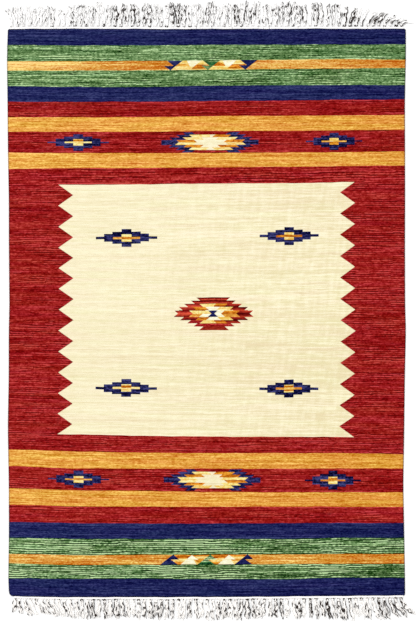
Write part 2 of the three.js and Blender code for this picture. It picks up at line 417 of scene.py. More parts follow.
# %% List the yarns
YARNS = {
    # name: shadow tone, light tone
    "green": ((34, 68, 24), (174, 206, 148)),
    "red": ((112, 0, 0), (192, 62, 60)),
    "navy": ((12, 16, 64), (60, 65, 113)),
    "orange": ((192, 100, 14), (256, 212, 124)),
    "gold": ((205, 126, 38), (262, 205, 108)),
    "cream": ((241, 227, 181), (263, 254, 219)),
    "indigo": ((0, 0, 36), (70, 72, 126)),
    "straw": ((238, 190, 84), (262, 252, 178)),
    "amber": ((166, 76, 0), (250, 168, 62)),
    "moss": ((0, 46, 28), (76, 134, 76)),
    "scarlet": ((96, 4, 8), (240, 98, 70)),
    "maroon": ((78, 0, 8), (204, 72, 48)),
    "white": ((246, 240, 190), (264, 262, 238)),
}
YARN_NUMBER = {name: number for number, name in enumerate(YARNS)}
print(f"{len(YARNS)} yarns: {', '.join(YARNS)}")

# %% [markdown]
# ## Sums that become nodes
# The pattern is worked out in the material, point by point, so its edges stay crisp at
# any distance. Wiring hundreds of Math nodes by hand is slow to write and hard to
# read. `Field` wraps one output of one node: adding or comparing Fields adds the
# Math node for it, and `add_node` adds any other node.

# %% Define the Field helper
class Field:
    """A value that varies over the cloth. Sums on it add Math nodes to its material."""

    def __init__(self, tree, socket):
        self.tree = tree
        self.socket = socket

    def math(self, operation, *others):
        inputs = dict(enumerate((self, *others)))
        return add_node(self.tree, "Math", inputs, operation=operation)

    def __add__(self, other):
        return self.math("ADD", other)

    def __sub__(self, other):
        return self.math("SUBTRACT", other)

    def __rsub__(self, other):
        return self * -1.0 + other

    def __mul__(self, other):
        return self.math("MULTIPLY", other)

    def __truediv__(self, other):
        return self.math("DIVIDE", other)

    def __abs__(self):
        return self.math("ABSOLUTE")

    def above(self, edge):
        return self.math("GREATER_THAN", edge)

    def below(self, edge):
        return self.math("LESS_THAN", edge)

    def at_least(self, other):
        return self.math("MAXIMUM", other)

    def at_most(self, other):
        return self.math("MINIMUM", other)

    def floor(self):
        return self.math("FLOOR")

    def is_row(self, number):
        return self.math("COMPARE", number, 0.25)


def plug(tree, value, slot):
    """Puts a Field or a plain value into a node's input."""
    if isinstance(value, Field):
        tree.links.new(value.socket, slot)
    else:
        slot.default_value = value


def add_node(tree, kind, inputs, output=0, **settings):
    """Adds a node, fills its inputs and gives one of its outputs as a Field."""
    node = tree.nodes.new("ShaderNode" + kind)
    for name, value in settings.items():
        setattr(node, name, value)
    for slot, value in inputs.items():
        plug(tree, value, node.inputs[slot])
    return Field(tree, node.outputs[output])


def blend(below, above, share):
    """below where share is 0, above where it is 1. Each may be a number or a Field."""
    return add_node(share.tree, "Mix", {0: share, 2: below, 3: above}, data_type="FLOAT")


def noise(x, y, z):
    """Smooth noise, 0 to 1 with 0.5 as its mean, at a point whose x is a Field."""
    place = add_node(x.tree, "CombineXYZ", {0: x, 1: y, 2: z})
    return add_node(x.tree, "TexNoise", {"Vector": place, "Scale": 1.0, "Detail": 0.0})


def finish_material(tree, colour, roughness, relief, strength, height, gloss):
    """Gives a material its colour, roughness, gloss and a bump of that relief."""
    bump = {"Strength": strength, "Distance": relief, "Height": height}
    look = {
        "Base Color": colour,
        "Roughness": roughness,
        "Normal": add_node(tree, "Bump", bump),
        "Specular IOR Level": gloss,
    }
    for slot, value in look.items():
        plug(tree, value, tree.nodes["Principled BSDF"].inputs[slot])


print("Field, add_node, blend and noise are ready")

# %% [markdown]
# ## Beads of weft
# Seen close, each rib is a stack of small beads: the places where the weft crosses over
# that warp. Neighbouring ribs take turns, so their beads are half a bead apart. The
# warp number and the bead number of each point are worked out from the plan.

# %% Start the cloth's material and find warps and beads
BEAD_LENGTH = 1.6

weft_dye, weft_tree = new_material("dyed_weft")
plan_map = add_node(weft_tree, "UVMap", {}, uv_map="weave")
across = add_node(weft_tree, "SeparateXYZ", {0: plan_map}, "X") / MM
along = add_node(weft_tree, "SeparateXYZ", {0: plan_map}, "Y") / MM

warp_place = across / WARP_PITCH
warp_number = warp_place.floor()
turn = warp_number.math("FLOORED_MODULO", 2.0)
bead_place = along / BEAD_LENGTH + turn * 0.5
bead_number = bead_place.floor()
# The plan's height of the pick of weft that the point is on: a pick is all one colour.
bead_along = ((along / BEAD_LENGTH).floor() + 0.5) * BEAD_LENGTH
from_middle = abs(bead_along)
near_end = bead_along.below(0.0)
right_side = across.above(0.0)


def by_end(far, near):
    """A value that is one thing at the far end and another at the near end."""
    return blend(far, near, near_end)


def lay_yarn(cloth, name, where):
    """The cloth's yarn numbers with one more yarn woven in where the mask is 1."""
    return blend(cloth, YARN_NUMBER[name], where)


print(f"beads of {WARP_PITCH:.2f} x {BEAD_LENGTH} mm")

# %% [markdown]
# ## The stripes
# The weaver works stripe by stripe, and both ends of the rug are the same, so the
# distance from the middle alone chooses the yarn. Each stripe paints over the last one.

# %% Weave the stripes
STRIPES = [
    # starts at this distance from the middle, in mm
    (0, "red"),
    (431.5, "gold"),
    (477, "red"),
    (545, "gold"),
    (591, "red"),
    (638.5, "navy"),
    (685, "green"),
    (732, "orange"),
    (761, "green"),
    (808, "navy"),
]
cloth = YARN_NUMBER["red"]
for start, yarn in STRIPES[1:]:
    cloth = lay_yarn(cloth, yarn, from_middle.above(start))
print(f"{len(STRIPES)} stripes from the middle to each end")

# %% [markdown]
# ## The cream field
# The middle field has straight ends and saw-toothed sides, twelve teeth a side. A tooth
# is a slope that rises and falls: the Ping-pong operation folds a steady climb into
# just that, and the field reaches as far as the folded value says.

# %% Weave the cream field
FIELD_FAR = 391
FIELD_NEAR = -374
TOOTH_COUNT = 12
TOOTH_TIP = 449
TOOTH_ROOT = 404
FIELD_TO_LEFT = 0.9

half_tooth = (FIELD_FAR - FIELD_NEAR) / TOOTH_COUNT / 2
tooth = (bead_along - FIELD_NEAR).math("PINGPONG", half_tooth)
field_reach = tooth * ((TOOTH_ROOT - TOOTH_TIP) / half_tooth) + TOOTH_TIP
in_field = abs(across + FIELD_TO_LEFT).below(field_reach)
in_field = in_field * bead_along.above(FIELD_NEAR) * bead_along.below(FIELD_FAR)
cloth = lay_yarn(cloth, "cream", in_field)
print(f"teeth every {2 * half_tooth:.1f} mm")

# %% [markdown]
# ## The stepped diamonds
# Eight small diamonds, four on the field and four in the figured red stripes, share one
# shape. Folding the plan by its absolute values turns eight places into one. Those on
# the right were beaten a little narrower, and those in the stripes have thinner arms.
# Each has a straw block and a bar at its centre, and the weaver put amber into each
# block in another place.

# %% Weave the eight diamonds
STRIPE_FIGURES = 511
FIELD_FIGURES = 229
DIAMOND_STEPS = [
    # half height, half width, in mm
    (27.2, 15),
    (18.2, 43),
    (12.1, 68),
]
ARM_REACH = 93
BAR_REACH = 41
BLOCK_HALF_WIDTH = 15.0
BLOCK_HALF_HEIGHT = 10.6
DIAMOND_CENTRES = [
    # in a stripe, at the near end, on the right, amber from and to in mm, the bar's yarn
    (0, 0, 0, -2.6, 2.6, "gold"),
    (0, 0, 1, -3.5, 3.5, "amber"),
    (0, 1, 0, 0.0, 7.5, "straw"),
    (0, 1, 1, 3.5, 9.5, "gold"),
    (0, 1, 1, -8.5, -3.5, "gold"),
    (1, 0, 0, 2.0, 9.0, "straw"),
    (1, 0, 1, -11.0, -0.5, "gold"),
    (1, 1, 0, -1.5, 3.7, "gold"),
    (1, 1, 1, -1.2, 6.3, "gold"),
]
in_stripe = from_middle.above(400.0)


def by_place(on_field, in_red_stripe):
    """A value that is one thing on the cream field and another in a red stripe."""
    return blend(on_field, in_red_stripe, in_stripe)


diamond_x = abs(across + by_place(-2.8, 0.9)) - by_place(246.3, 386.6)
diamond_y = from_middle - by_place(FIELD_FIGURES, STRIPE_FIGURES)
diamond_across = abs(diamond_x) * (right_side * by_place(0.04, 0.09) + 1.0)
diamond_along = abs(diamond_y)
for half_height, half_width in (*DIAMOND_STEPS, (by_place(4.1, 2.4), ARM_REACH)):
    step = diamond_along.below(half_height) * diamond_across.below(half_width)
    cloth = lay_yarn(cloth, "indigo", step)

which = in_stripe * 4.0 + near_end * 2.0 + right_side
toward_far = diamond_y * by_end(1.0, -1.0)
block = diamond_across.below(BLOCK_HALF_WIDTH) * diamond_along.below(BLOCK_HALF_HEIGHT)
bar = diamond_across.below(BAR_REACH) * diamond_along.below(by_place(3.2, 2.3))
bar = bar * diamond_across.above(BLOCK_HALF_WIDTH)
cloth = lay_yarn(cloth, "straw", block)
for stripe, near, right, amber_from, amber_to, bar_yarn in DIAMOND_CENTRES:
    here = which.is_row(stripe * 4 + near * 2 + right)
    cloth = lay_yarn(cloth, bar_yarn, bar * here)
    amber = toward_far.above(amber_from) * toward_far.below(amber_to)
    cloth = lay_yarn(cloth, "amber", amber * block * here)
print("eight diamonds of", len(DIAMOND_STEPS), "steps and two arms")

# %% [markdown]
# ## Charted figures
# The larger figures are charted row by row, as a weaver would: each row says where a
# yarn starts, from left to right in mm, and ends with where the row ends. The ends of a
# row are cut on a slant, which makes the barbed outline. `weave_chart` reads a chart.

# %% Read a chart into the cloth
def weave_chart(cloth, chart, x, y, row_height, slant):
    """Weaves a charted figure about x, y = 0. Each row widens outward by slant."""
    within = abs(y).below(len(chart) / 2 * row_height)
    row_place = y / row_height + len(chart) / 2
    row_number = row_place.floor()
    # How far the point is towards the figure's waist within its row, from 0 to 1.
    inward = abs(row_place - len(chart) / 2)
    inward = inward.math("CEIL") - inward
    barbed = (abs(x) + inward * slant) * x.math("SIGN")
    for number, row in enumerate(reversed(chart)):
        words = row.split()
        in_row = row_number.is_row(number) * barbed.below(float(words[-1])) * within
        for start, yarn in zip(words[0::2], words[1::2]):
            cloth = lay_yarn(cloth, yarn, in_row * barbed.above(float(start)))
    return cloth


print("weave_chart is ready")

# %% [markdown]
# ### The two stripe medallions
# Each figured red stripe carries one wide medallion in its middle: navy barbs round
# bars of straw, orange and gold, with a cream heart. The outline is blunt at the waist:
# a bar fills the notch between the two barbs there.

# %% Weave the stripe medallions
# The far row comes first in each chart.
FAR_CHART = [
    "-83 indigo -55 red 58 indigo 93",
    "-103 indigo -64 straw 0 cream 18 amber 66 indigo 110",
    "-124 indigo -83 straw -29 cream 29 straw 85 indigo 130",
    "-148 indigo -103 amber -50 cream 52 amber 107 indigo 149",
    "-148 indigo -105 straw -50 cream 56 straw 108 indigo 149",
    "-124 indigo -80 amber -29 cream 32 amber 88 indigo 130",
    "-103 indigo -64 straw -12 cream 16 straw 70 indigo 110",
    "-85 indigo -54 red 56 indigo 93",
]
NEAR_CHART = [
    "-84 indigo -55 red 56 indigo 92",
    "-105 indigo -62 straw -12 cream 12 amber 69 indigo 108",
    "-127 indigo -85 amber -32 cream 30 amber 87 indigo 129",
    "-150 indigo -105 straw -54 cream 34 straw 109 indigo 148",
    "-150 indigo -105 straw -54 cream 48 amber 109 indigo 148",
    "-127 indigo -87 amber -32 cream 38 straw 88 indigo 129",
    "-105 indigo -65 straw -10 cream 16 straw 68 indigo 108",
    "-86 indigo -56 red 60 indigo 92",
]
MEDALLIONS = [
    # chart, place across, place along, in mm
    (FAR_CHART, 10.6, STRIPE_FIGURES),
    (NEAR_CHART, 18.8, -STRIPE_FIGURES),
]
MEDALLION_ROW = 8.0
WAIST_HALF_WIDTH = 147
WAIST_HALF_HEIGHT = 6.0

for chart, place_across, place_along in MEDALLIONS:
    medallion_x = across - place_across
    medallion_y = bead_along - place_along
    bar = abs(medallion_x).below(WAIST_HALF_WIDTH) * abs(medallion_y).below(WAIST_HALF_HEIGHT)
    cloth = lay_yarn(cloth, "indigo", bar)
    cloth = weave_chart(cloth, chart, medallion_x, medallion_y, MEDALLION_ROW, slant=11)
print(f"stripe medallions of {len(FAR_CHART)} rows")

# %% [markdown]
# ### The middle medallion
# On the cream field one medallion has barbs that point the other way, red outside and
# straw, orange and white inside, about a navy hourglass.

# %% Weave the middle medallion
MIDDLE_CHART = [
    "-54 scarlet 50",
    "-70 scarlet 66",
    "-90 scarlet -44 straw 6 amber 41 maroon 85",
    "-106 scarlet -65 amber -26 white 18 straw 58 maroon 103",
    "-121 scarlet -76 straw 10 white 33 amber 79 maroon 120",
    "-122 scarlet -76 gold -46 white 33 gold 79 maroon 120",
    "-103 maroon -56 amber -24 white 21 straw 59 maroon 104",
    "-82 red -44 straw 8 amber 41 maroon 83",
    "-63 red 63",
    "-45 maroon 45",
]
MIDDLE_ROW = 9.9
MIDDLE_AT = (20.4, -2.7)
HOURGLASS_AT = -3.4
HOURGLASS_WAIST = 4.5
HOURGLASS_SLOPE = 1.1

middle_x = across - MIDDLE_AT[0]
middle_y = bead_along - MIDDLE_AT[1]
from_waist = abs(middle_y)
cloth = weave_chart(cloth, MIDDLE_CHART, middle_x, middle_y, MIDDLE_ROW, slant=12)
hourglass = abs(middle_x - HOURGLASS_AT).below(from_waist * HOURGLASS_SLOPE + HOURGLASS_WAIST)
cloth = lay_yarn(cloth, "navy", hourglass * from_waist.below(MIDDLE_ROW))
print(f"middle medallion of {len(MIDDLE_CHART)} rows")

# %% [markdown]
# ## The arrow figures
# In each orange stripe three two-part arrows point to the middle of the rug, navy,
# green and navy, with cream and orange wedges between them. The figures of the near
# end are those of the far end turned half round, so the plan is turned instead. The
# weaver slanted them a little more there, so most numbers come in pairs. Widths are in
# mm, and heights are shares of the stripe, from the side towards the middle of the rug.

# %% Weave the arrows in the orange stripes
ARROW_STRIPE = (732.0, 761.0)
ARROW_PITCH = 112.8
FIRST_ARROW = -108.2
NEAR_ARROWS_SHIFT = 16.2
CELL_START = 0.25
# Pairs are for the far and the near end. A slant is in mm over the height of the stripe.
NOTCH = (0.47, 0.54)
RIGHT_SLANT = (35.8, 39.0)
LEFT_SLANT = (-42.0, -34.0)
UPPER_LEFT_SLANT = (-36.0, -42.0)
UPPER_LEFT_START = (4.6, 7.0)
FIRST_UPPER_SHIFT = 5.0
# The wedge between two arrows stands on a foot and widens upward.
WEDGE_SHOWS_FROM = (0.36, 0.05)
WEDGE_FOOT_HEIGHT = (0.15, 0.05)
FAR_FOOT = 63.0
FAR_FOOT_STEP = -5.5
NEAR_FOOT = 56.5
NEAR_UPPER_FOOT = 61.0
WEDGE_RIGHT_SLANT = 34.5
FAR_WEDGE_SLANT = -16.0
NEAR_WEDGE_SLANT = -43.0
NEAR_UPPER_SLANT = -20.0
SPLIT_SLANT = -60.0
SPLIT_START = 85.2
LOW_BAND_FROM = (0.14, 0.03)
LOW_BAND_TO = (0.6, 0.42)

turned = across * by_end(1.0, -1.0) + near_end * NEAR_ARROWS_SHIFT - FIRST_ARROW
in_orange = from_middle.above(ARROW_STRIPE[0]) * from_middle.below(ARROW_STRIPE[1])
height = (from_middle - ARROW_STRIPE[0]) / (ARROW_STRIPE[1] - ARROW_STRIPE[0])
cell = turned / ARROW_PITCH + CELL_START
cell_number = cell.floor()
cell_x = (cell - cell_number - CELL_START) * ARROW_PITCH
middle_cell = cell_number.is_row(1)
over_notch = height - by_end(*NOTCH)
upper_part = over_notch.above(0.0)

# The arrow's right edge is one slant. Its left edge starts again at the notch.
right_edge = height * by_end(*RIGHT_SLANT)
first_far = cell_number.is_row(0) * by_end(1.0, 0.0)
upper_left = over_notch * by_end(*UPPER_LEFT_SLANT) + by_end(*UPPER_LEFT_START)
upper_left = upper_left + first_far * FIRST_UPPER_SHIFT
left_edge = blend(height * by_end(*LEFT_SLANT), upper_left, upper_part)
has_arrow = cell_number.above(-0.5) * cell_number.below(2.5) * in_orange
in_arrow = cell_x.above(left_edge) * cell_x.below(right_edge) * has_arrow

# The ground between two arrows runs from this arrow into the next one's cell.
after = cell_number.above(-0.5) * cell_number.below(1.5) * cell_x.above(right_edge)
before = cell_number.above(0.5) * cell_number.below(2.5) * cell_x.below(0.0)
between = after.at_least(before) * in_orange

# Distance from this cell's own arrow, also where the next arrow's cell has begun.
wedge_x = cell_x + cell_x.below(0.0) * ARROW_PITCH
wedge_height = height - by_end(*WEDGE_FOOT_HEIGHT)
far_foot = (cell_number - cell_x.below(0.0)) * FAR_FOOT_STEP + FAR_FOOT
wedge_foot = by_end(far_foot, NEAR_FOOT)
near_lower = wedge_height * NEAR_WEDGE_SLANT + NEAR_FOOT
near_left = blend(near_lower, wedge_height * NEAR_UPPER_SLANT + NEAR_UPPER_FOOT, upper_part)
left_of_wedge = wedge_x.below(by_end(wedge_height * FAR_WEDGE_SLANT + wedge_foot, near_left))
right_of_wedge = wedge_x.above(wedge_height * WEDGE_RIGHT_SLANT + wedge_foot)
beside_wedge = left_of_wedge + right_of_wedge
in_wedge = height.above(by_end(*WEDGE_SHOWS_FROM)) * beside_wedge.below(0.5)
split = wedge_x.below(height * SPLIT_SLANT + SPLIT_START)
low_band = height.above(by_end(*LOW_BAND_FROM)) * height.below(by_end(*LOW_BAND_TO))
ARROW_GROUND = [
    # yarn, where it lies between the arrows
    ("straw", 1.0),
    ("gold", split * height.above(0.42) * height.below(0.7)),
    ("amber", right_of_wedge * low_band),
    ("amber", right_of_wedge * near_end * height.above(0.72)),
    ("amber", left_of_wedge * near_end * height.below(0.22)),
    ("amber", left_of_wedge * middle_cell * split * height.above(0.42)),
    ("white", in_wedge),
]
for yarn, where in ARROW_GROUND:
    cloth = lay_yarn(cloth, yarn, between * where)
near_moss = height.below(0.25).at_least(height.above(0.72))
mossy = by_end(upper_part * height.below(0.88), near_moss)
for yarn, where in (("navy", 1.0), ("green", middle_cell), ("moss", middle_cell * mossy)):
    cloth = lay_yarn(cloth, yarn, in_arrow * where)
print("three arrows in each orange stripe")

# %% [markdown]
# ## Streaks of dye
# Each pass of weft was dyed in a skein, so its tone changes slowly along the pass and
# suddenly from one pass to the next. A painted streak map would do, but it would have
# to be very large. Noise stretched along the width and jumping from pass to pass gives
# the same, in four lengths from a long fade to short flecks.

# %% Work out the streaks
STREAKS = [
    # how long a streak is, in mm, and how strong
    (320.0, 1.25),
    (95.0, 1.1),
    (30.0, 1.15),
    (8.0, 1.3),
]
SHORT_STREAK = 10.0
SOFT_PICKS = 3.0
SKEIN_PICKS = 3.2
SKEIN_STEP = 7.37
DRAWN_IN = 5.0
SEED_STEP = 11.3
YARN_STEP = 3.7
FADED = 0.1
NEAR_DEEPER = 0.08


def patches(width, length, seed):
    """Soft patches over the cloth, 0 to 1, of about that size in mm."""
    return noise(across / width, along / length, seed)


is_green, is_red, is_cream, is_orange = (
    cloth.is_row(YARN_NUMBER[name]) for name in ("green", "red", "cream", "orange")
)

# An even yarn changes softly from pick to pick, a streaky one at once, every few picks.
even_dyed = cloth.above(YARN_NUMBER["navy"] - 0.5) * cloth.below(YARN_NUMBER["cream"] + 0.5)
drawn_in = patches(70.0, 24.0, seed=0.0) * DRAWN_IN
skein_row = ((bead_along + drawn_in) / SKEIN_PICKS).floor()
pick_place = blend(skein_row * SKEIN_STEP, bead_along / SOFT_PICKS, even_dyed)
fade = (is_red * 0.8 - is_cream - 1.0) * FADED
tone = across / PLAN_HALF_WIDTH * fade + 0.5 - near_end * even_dyed * NEAR_DEEPER
for number, (length, strength) in enumerate(STREAKS):
    streak = noise(across / length, pick_place, cloth * YARN_STEP + SEED_STEP * number)
    if length < SHORT_STREAK:
        strength = is_cream * (-0.8 * strength) + strength
    tone = (streak - 0.5) * strength + tone
print(len(STREAKS), "lengths of streak")

# %% [markdown]
# ### What sets each ground apart
# The cream field is plainer on the left, and on its right the light and shade of the
# ribs are painted on as soft ripples. Red and green were woven from two shuttles in turn,
# one of them darker; it shows more in some places than in others, and most plainly in
# the near green. Most of the weft is of a middling tone, and a few passes are much
# lighter or darker: the cube of a pass's distance from the middle tone sets those few
# apart. A grain does the same for single beads.

# %% Set the grounds apart and add the grain
FIELD_LIGHTER = 0.06
# How strong the streaks are at the left and at the right side of the field.
FIELD_STREAKS = (0.6, 1.2)
RIPPLE_DEPTH = 0.9
RIPPLE_WIDTH = 11.0
RIPPLE_LEAN = -0.12
# How far apart the two shuttles' tones are.
RED_GAP = 0.45
RED_GAP_AT_SIDES = 0.65
GREEN_GAP = (0.45, 1.2)
NEAR_GREEN_DARKER = 0.16
GRAIN = 0.5
EVENNESS = 0.7
TAIL = 0.45

to_right = across / (2 * TOOTH_TIP) + 0.5
# Painted light and shade of the ribs: soft ripples in the tone, stronger to the right.
ripple = noise((along * RIPPLE_LEAN + across) / RIPPLE_WIDTH, along / 70.0, 2.0) - 0.5
streaks = (tone - 0.5) * blend(*FIELD_STREAKS, to_right)
quiet = streaks + ripple * to_right * RIPPLE_DEPTH + 0.5 + FIELD_LIGHTER
tone = blend(tone, quiet, is_cream)

shuttle = skein_row.math("FLOORED_MODULO", 2.0) - 0.5
in_sides = from_middle.below(STRIPES[1][0])
red_gap = blend(RED_GAP, RED_GAP_AT_SIDES, in_sides)
shuttle_gap = is_red * red_gap + is_green * by_end(*GREEN_GAP)
tone = tone + shuttle * shuttle_gap * patches(160.0, 30.0, seed=4.0) * 2.0
near_green = is_green * near_end
skein_strength = near_green * 0.2 - is_green * 0.15 - is_red * 0.06 + 1.0
tone = (tone - 0.5) * skein_strength - near_green * NEAR_GREEN_DARKER + 0.5

bead = add_node(weft_tree, "CombineXYZ", {"X": warp_number, "Y": bead_number})
bead_grain = add_node(weft_tree, "TexWhiteNoise", {"Vector": bead}, noise_dimensions="2D")
tone = tone + (bead_grain - 0.5) * (is_cream * -0.3 + GRAIN)

in_ground = cloth.below(YARN_NUMBER["gold"] + 0.5)
from_mean = tone - 0.5
set_apart = from_mean * (from_mean * from_mean * TAIL + EVENNESS) + 0.5
tone = blend(tone, set_apart, in_ground)
print("grounds and grain are ready")

# %% [markdown]
# ### The space-dyed orange
# The orange yarn was dipped in parts, so it runs from pale straw to deep orange along
# the stripe. A short ramp over the width says how pale it is, one for each end.

# %% Dip-dye the orange stripes
# Pairs of how far across the stripe, from 0 to 1, and how pale the yarn is there.
FAR_DIP = [
    (0, 0.9), (0.1, 0.88), (0.15, 0.8), (0.23, 0.5), (0.33, 0.32), (0.38, 0.3),
    (0.62, 0.54), (0.735, 0.7), (0.83, 0.62), (0.9, 0.46), (1, 0.36),
]
NEAR_DIP = [
    (0, 0.58), (0.1, 0.5), (0.25, 0.45), (0.33, 0.28), (0.38, 0.4),
    (0.65, 0.56), (0.735, 0.68), (0.83, 0.5), (0.9, 0.48), (1, 0.56),
]


def ramp(place, stops, interpolation="LINEAR"):
    """A ramp read at place. stops is a list of places, from 0 to 1, and colours."""
    node = weft_tree.nodes.new("ShaderNodeValToRGB")
    plug(weft_tree, place, node.inputs["Fac"])
    node.color_ramp.interpolation = interpolation
    elements = node.color_ramp.elements
    while len(elements) < len(stops):
        elements.new(0.5)
    for element, (at, colour) in zip(elements, stops):
        element.position = at
        element.color = (*colour, 1)
    return Field(weft_tree, node.outputs["Color"])


share_across = across / (2 * PLAN_HALF_WIDTH) + 0.5
pale = by_end(
    *(ramp(share_across, [(at, (dip,) * 3) for at, dip in dips]) for dips in (FAR_DIP, NEAR_DIP))
)
tone = blend(tone, tone - 0.5 + pale, is_orange)
print("orange is dipped in", len(FAR_DIP), "steps")

# %% [markdown]
# ### Light and dark within a row
# The yarns of the middle medallion turn from dark to light and back every two rows. On
# the left they are light at the waist, on the right dark. The two top rows have one
# light line each. A distance that is folded every row gives the first, and the place
# within the row gives the second.

# %% Shade the rows of the middle medallion
LIGHT_LINE_AT = 0.33
LIGHT_LINE_EDGE = 3.0
TOP_ROWS_FROM = 3

fold = from_waist.math("PINGPONG", MIDDLE_ROW) / MIDDLE_ROW
row_share = (from_waist / MIDDLE_ROW).math("FRACT")
light_line = (1.0 - abs(row_share - LIGHT_LINE_AT) * LIGHT_LINE_EDGE).at_least(0.0)
in_outer_rows = from_waist.above(TOP_ROWS_FROM * MIDDLE_ROW)
in_middle_figure = from_waist.below(len(MIDDLE_CHART) / 2 * MIDDLE_ROW)
ROW_LIGHT = [
    # yarn, how light it is, how much of its own streaks it keeps, how much of the light
    ("scarlet", blend(1.0 - fold, light_line, in_outer_rows), 0.4, 0.9),
    ("maroon", blend(fold, 0.35, in_outer_rows), 0.4, 0.85),
    ("amber", blend(1.0 - fold, fold, middle_x.above(0.0)), 0.7, 0.6),
]
for yarn, light, own_share, light_share in ROW_LIGHT:
    shaded = (tone - 0.5) * own_share + (light - 0.5) * light_share + 0.5
    tone = blend(tone, shaded, cloth.is_row(YARN_NUMBER[yarn]) * in_middle_figure)
print(len(ROW_LIGHT), "yarns are shaded by row")

# %% [markdown]
# ## Colour, crevices and bump
# Two constant ramps turn the yarn number into its shadow tone and its light tone, and
# the streaks blend the two. The valley between two ribs, and the join between two
# beads, see less light, so painted shade darkens them a little, and the bump carves them.
# The outermost warps and the last picks are round and turn away from the light, so
# painted shade darkens them too.

# %% Finish the cloth's material
BEAD_RELIEF = 0.3 * MM
PAST_TONES = 0.18
HUE_STRAY = 0.03
CREVICE_DEPTH = 0.22
MEAN_BEAD_HEIGHT = 0.62
EDGE_WIDTH = 5.0
EDGE_LIGHT = 0.35


def yarn_ramp(which):
    """From yarn number to that yarn's tone, 0 for shadow and 1 for light."""
    stops = [
        (number / len(YARNS), [part / 255 for part in tones[which]])
        for number, tones in enumerate(YARNS.values())
    ]
    return ramp((cloth + 0.5) / len(YARNS), stops, "CONSTANT")


# The ground yarns may go a little past their two tones, the figures' yarns may not.
past = in_ground * PAST_TONES
tone = tone.at_least(past * -1.0).at_most(past + 1.0)
two_tones = {0: tone, 6: yarn_ramp(0), 7: yarn_ramp(1)}
colour = add_node(weft_tree, "Mix", two_tones, 2, data_type="RGBA", clamp_factor=False)
# The hue strays a little from skein to skein.
stray = (patches(150.0, 11.0, seed=cloth * 5.3) - 0.5) * HUE_STRAY + 0.5
colour = add_node(weft_tree, "HueSaturation", {"Hue": stray, "Color": colour})
colour = add_node(weft_tree, "Gamma", {"Gamma": 2.2, "Color": colour})


def rounded(share):
    """0 at both sides of a strip and 1 in its middle."""
    return share * (1.0 - share) * 4.0


bead_height = rounded(warp_place - warp_number) * rounded(bead_place - bead_number)
bead_height = bead_height.math("POWER", 0.5)
# Painted shade in the valleys and joins, which see less light.
crevice = (bead_height - MEAN_BEAD_HEIGHT) * CREVICE_DEPTH + 1.0
# Painted shade along the outermost warps and the last picks, which turn away from the light.
from_edge = (PLAN_HALF_WIDTH - abs(across)).at_most(PLAN_HALF_LENGTH - abs(along))
edge_shade = (from_edge / EDGE_WIDTH).at_most(1.0) * (1.0 - EDGE_LIGHT) + EDGE_LIGHT
shade = {0: colour, "Scale": crevice * edge_shade / LIGHT_ON_FLOOR}
colour = add_node(weft_tree, "VectorMath", shade, operation="SCALE")
roughness = (bead_grain * 0.14 + 0.8) - bead_height * 0.06
finish_material(
    weft_tree, colour, roughness, relief=BEAD_RELIEF, strength=0.8, height=bead_height, gloss=0.03
)
rug.data.materials.append(weft_dye)
print(f"the cloth's material has {len(weft_tree.nodes)} nodes")

# %% [markdown]
# ## The fringe
# The warps run on past the cloth. First comes a narrow white heading, then a row of
# overhand knots, each on five warps, then loose curly cotton. Hair curves could
# draw the strands, but they would not export, so each strand is a thin tube. All the
# tubes of a fringe are computed at once with numpy and joined in one mesh.

# %% Make tubes from centre lines
def tube_mesh(centres, radii, sides, closed=False):
    """Round tubes: centres is (tubes, points, 3) in metres, radii (tubes, points)."""
    count, points, _ = centres.shape
    if closed:
        ahead = np.roll(centres, -1, axis=1) - np.roll(centres, 1, axis=1)
    else:
        ahead = np.gradient(centres, axis=1)
    ahead /= np.linalg.norm(ahead, axis=-1, keepdims=True)
    side = np.cross(ahead, (0, 0, 1))
    side /= np.linalg.norm(side, axis=-1, keepdims=True)
    up = np.cross(side, ahead)
    turn = np.linspace(0, 2 * math.pi, sides, endpoint=False)
    ring = (
        side[:, :, None] * np.cos(turn)[None, None, :, None]
        + up[:, :, None] * np.sin(turn)[None, None, :, None]
    )
    places = centres[:, :, None] + ring * radii[:, :, None, None]
    index = np.arange(count * points * sides).reshape(count, points, sides)
    here = index if closed else index[:, :-1]
    there = np.roll(index, -1, axis=1) if closed else index[:, 1:]
    faces = list(quads(there, np.roll(there, -1, axis=2), np.roll(here, -1, axis=2), here))
    if not closed:
        faces += list(index[:, 0]) + list(index[:, -1, ::-1])
    return places.reshape(-1, 3), faces


print("tube_mesh is ready")

# %% [markdown]
# ### Where each tassel lies
# Sixty-nine tassels share the width. Two short tables say how far the tips reach from
# the cloth, how far they lean to the right, how strongly the strands curl, and how much
# painted shade darkens them, with more of it at the roots in the far right corner, where
# the tassels lie over each other. The fringe was combed by hand and its corners fell
# sideways.

# %% Tables of how the fringes lie, in millimetres
TASSEL_COUNT = 69
FRINGE_INSET = 3
KNOT_AT = 12.0
FAR_LIE = [
    # across, reach, lean, curl, painted shade, more painted shade at the roots
    (-600, 60, -14, 1.2, 0.8, 0),
    (-560, 67, -8, 1.2, 0.7, 0),
    (-545, 67, -3, 1.2, 0.4, 0),
    (-505, 64, -3, 1.2, 0.5, 0),
    (-485, 69, 0, 1.1, 0.8, 0),
    (-455, 69, 2, 1.0, 0.6, 0),
    (-440, 48, 0, 1.2, 0.3, 0),
    (-420, 69, 4, 1.1, 0.6, 0),
    (-345, 72, 1, 0.5, 1.0, 0),
    (-330, 72, 1, 0.5, 1.3, 0),
    (-120, 74, 1, 0.4, 1.25, 0),
    (200, 74, 1, 0.4, 1.25, 0),
    (380, 75, 1, 0.4, 1.5, 0),
    (415, 66, 7, 0.4, 1.5, 0.8),
    (470, 54, 24, 0.3, 1.5, 1.8),
    (520, 42, 32, 0.3, 1.4, 3.0),
    (555, 27, 34, 0.3, 1.4, 3.4),
    (597, 14, 30, 0.3, 1.2, 2.4),
]
